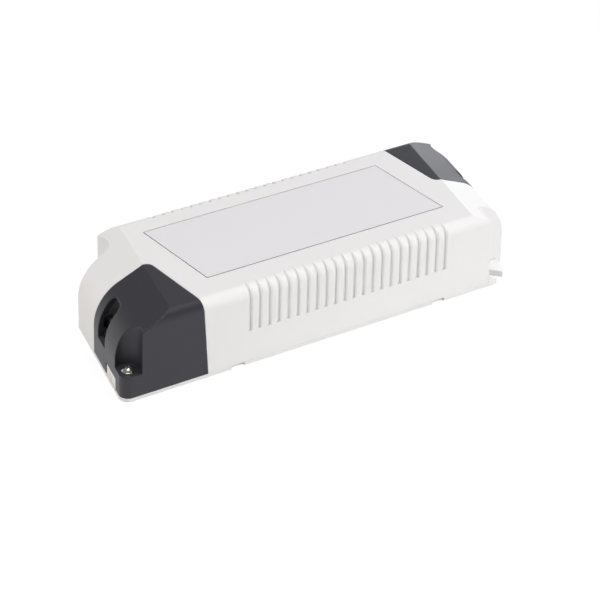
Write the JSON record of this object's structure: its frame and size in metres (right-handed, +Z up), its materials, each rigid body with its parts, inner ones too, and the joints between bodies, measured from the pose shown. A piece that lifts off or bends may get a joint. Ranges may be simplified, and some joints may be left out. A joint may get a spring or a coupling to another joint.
{
  "type": "power supply",
  "caption": "Low oblong power supply in a grooved white plastic case with slanted, sloping ends, dark screwed terminal covers and open-slotted mounting ears.",
  "frame": {"origin": "middle of the underside", "axes": "+X along the case, towards the end that is on the right in the picture; +Y across it, away from the picture's near side; +Z up, out of the label"},
  "size_m": [0.2096, 0.0754, 0.0332],
  "materials": {
    "white": "fine satin",
    "charcoal": "fine satin",
    "steel": "bright zinc",
    "label": "smooth",
    "board": "satin",
    "pale_plastic": "satin",
    "dark_plastic": "satin",
    "brown_plastic": "satin",
    "blue_coating": "satin",
    "amber_plastic": "satin",
    "ferrite": "matt",
    "copper": "enamelled",
    "tape": "smooth",
    "aluminium": "satin"
  },
  "bodies": {
    "root": {"base_tray": "white", "upper_housing": "white", "left_terminal_cover": "charcoal", "right_terminal_cover": "charcoal", "cover_screws": "steel", "top_label": "label", "circuit_board": "board", "board_screws": "steel", "input_terminal_block": "pale_plastic", "output_terminal_block": "dark_plastic", "terminal_screws": "steel", "cable_clamps": "charcoal", "cable_clamp_screws": "steel", "fuse": "brown_plastic", "surge_varistor": "blue_coating", "suppression_capacitor": "amber_plastic", "filter_choke_core": "ferrite", "filter_choke_windings": "copper", "bridge_rectifier": "dark_plastic", "bulk_capacitors": "dark_plastic", "power_transistors": "dark_plastic", "transistor_heatsink": "aluminium", "transformer_core": "ferrite", "transformer_bobbin": "dark_plastic", "transformer_winding": "tape", "safety_capacitor": "blue_coating", "optocoupler": "pale_plastic", "control_chip": "dark_plastic", "output_diode": "dark_plastic", "output_heatsink": "aluminium", "output_choke_core": "ferrite", "output_choke_winding": "copper", "output_capacitors": "dark_plastic"}
  },
  "joints": []
}
